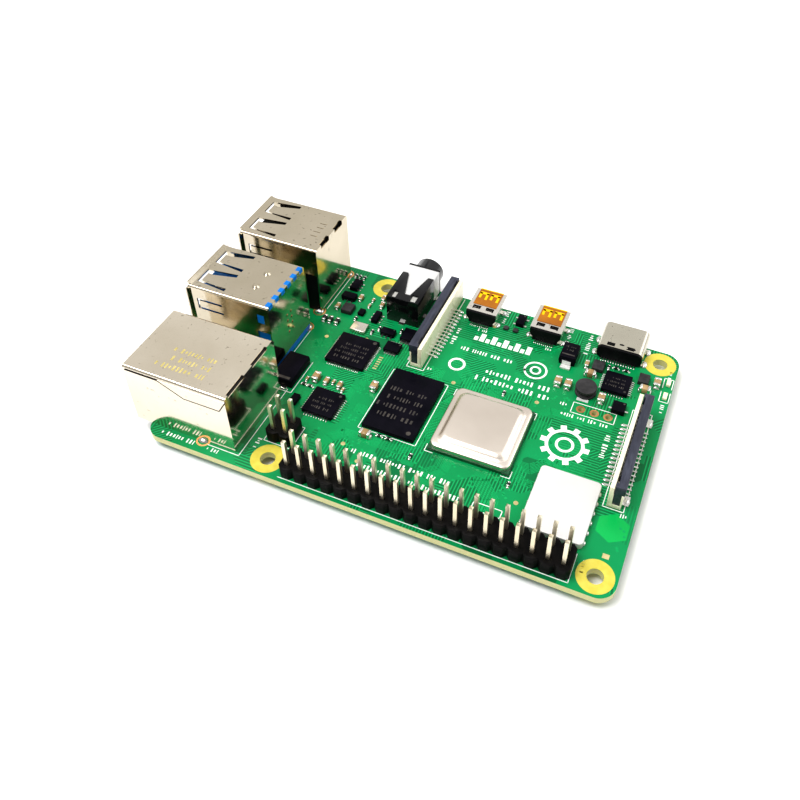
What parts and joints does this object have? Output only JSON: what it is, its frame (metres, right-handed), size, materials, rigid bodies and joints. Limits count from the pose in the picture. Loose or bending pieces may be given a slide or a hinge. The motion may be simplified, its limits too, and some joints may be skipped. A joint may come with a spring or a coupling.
{
  "type": "single board computer",
  "caption": "Credit-card sized green single board computer with stacked ports, a pin header, ribbon-cable connectors, metal-lidded processor and edge sockets.",
  "frame": {"origin": "centre of the four mounting holes, on the board's underside", "axes": "+X towards the end with the stacked ports, +Y towards the long edge with the forty-pin header, +Z out of the board's component side"},
  "size_m": [0.0882, 0.0584, 0.0191],
  "materials": {
    "solder_mask": "glossy green solder mask over copper and glass-fibre laminate",
    "black_plastic": "moulded black thermoplastic",
    "gloss_black_plastic": "glossy moulded black thermoplastic",
    "blue_plastic": "moulded blue thermoplastic",
    "cream_plastic": "moulded cream thermoplastic",
    "slate_plastic": "moulded blue-grey thermoplastic",
    "pale_core": "smooth pale moulded core",
    "amber_film": "translucent amber polyimide film",
    "gold_plated_pins": "square pins with pale gold plating",
    "gold_contacts": "gold-plated spring contacts",
    "tinned_contacts": "bright tin plating",
    "nickel_sheet": "nickel-plated steel sheet",
    "tinned_sheet": "satin tinned steel sheet",
    "nickel_lid": "satin nickel-plated copper",
    "clear_lens": "clear moulded light guide",
    "chip_substrate": "dark green laminate",
    "chip_epoxy": "moulded epoxy, fine matte grain",
    "ferrite": "sintered ferrite",
    "crystal_lid": "metal lid on a ceramic can",
    "led_body": "cream diffusing resin",
    "tan_ceramic": "tan ceramic",
    "resistor_film": "black resistor glaze"
  },
  "bodies": {
    "board": {"av_jack_body": "gloss_black_plastic", "av_jack_contacts": "tinned_contacts", "av_jack_core": "pale_core", "bulk_capacitor_body": "chip_epoxy", "camera_connector_body": "cream_plastic", "camera_connector_contacts": "tinned_contacts", "card_socket_base": "black_plastic", "card_socket_contacts": "gold_contacts", "card_socket_cover": "nickel_sheet", "ceramic_capacitors": "tan_ceramic", "chip_end_caps": "tinned_contacts", "chip_resistors": "resistor_film", "circuit_board": "solder_mask", "crystal": "crystal_lid", "display_connector_body": "cream_plastic", "display_connector_contacts": "tinned_contacts", "ethernet_contacts": "gold_contacts", "ethernet_housing": "black_plastic", "ethernet_light_pipes": "clear_lens", "ethernet_shell": "nickel_sheet", "ethernet_transceiver_chip": "chip_epoxy", "flat_chip_leads": "tinned_contacts", "gpio_header_block": "black_plastic", "gpio_header_pins": "gold_plated_pins", "hdmi_0_film": "amber_film", "hdmi_0_insulator": "black_plastic", "hdmi_0_shell": "nickel_sheet", "hdmi_1_film": "amber_film", "hdmi_1_insulator": "black_plastic", "hdmi_1_shell": "nickel_sheet", "hdmi_contacts": "tinned_contacts", "input_diode_body": "chip_epoxy", "memory_chip": "chip_epoxy", "power_inductor": "ferrite", "power_manager_chip": "chip_epoxy", "power_over_ethernet_block": "black_plastic", "power_over_ethernet_pins": "gold_plated_pins", "power_part_leads": "tinned_contacts", "processor_heat_spreader": "nickel_lid", "processor_substrate": "chip_substrate", "small_chip_bodies": "chip_epoxy", "small_chip_leads": "tinned_contacts", "small_inductors": "ferrite", "status_lights": "led_body", "usb2_contacts": "gold_contacts", "usb2_housing": "black_plastic", "usb2_shell": "nickel_sheet", "usb3_contacts": "gold_contacts", "usb3_housing": "blue_plastic", "usb3_shell": "nickel_sheet", "usb_c_contacts": "tinned_contacts", "usb_c_insulator": "black_plastic", "usb_c_shell": "nickel_sheet", "usb_controller_chip": "chip_epoxy", "wireless_chip": "chip_epoxy", "wireless_shield": "tinned_sheet"},
    "camera_latch": {"camera_connector_latch": "slate_plastic"},
    "display_latch": {"display_connector_latch": "slate_plastic"}
  },
  "joints": [
    {"name": "camera_latch_lift", "type": "slide", "parent": "board", "child": "camera_latch", "axis": [0, 0, 1], "range_m": [0, 0.0015]},
    {"name": "display_latch_lift", "type": "slide", "parent": "board", "child": "display_latch", "axis": [0, 0, 1], "range_m": [0, 0.0015]}
  ]
}
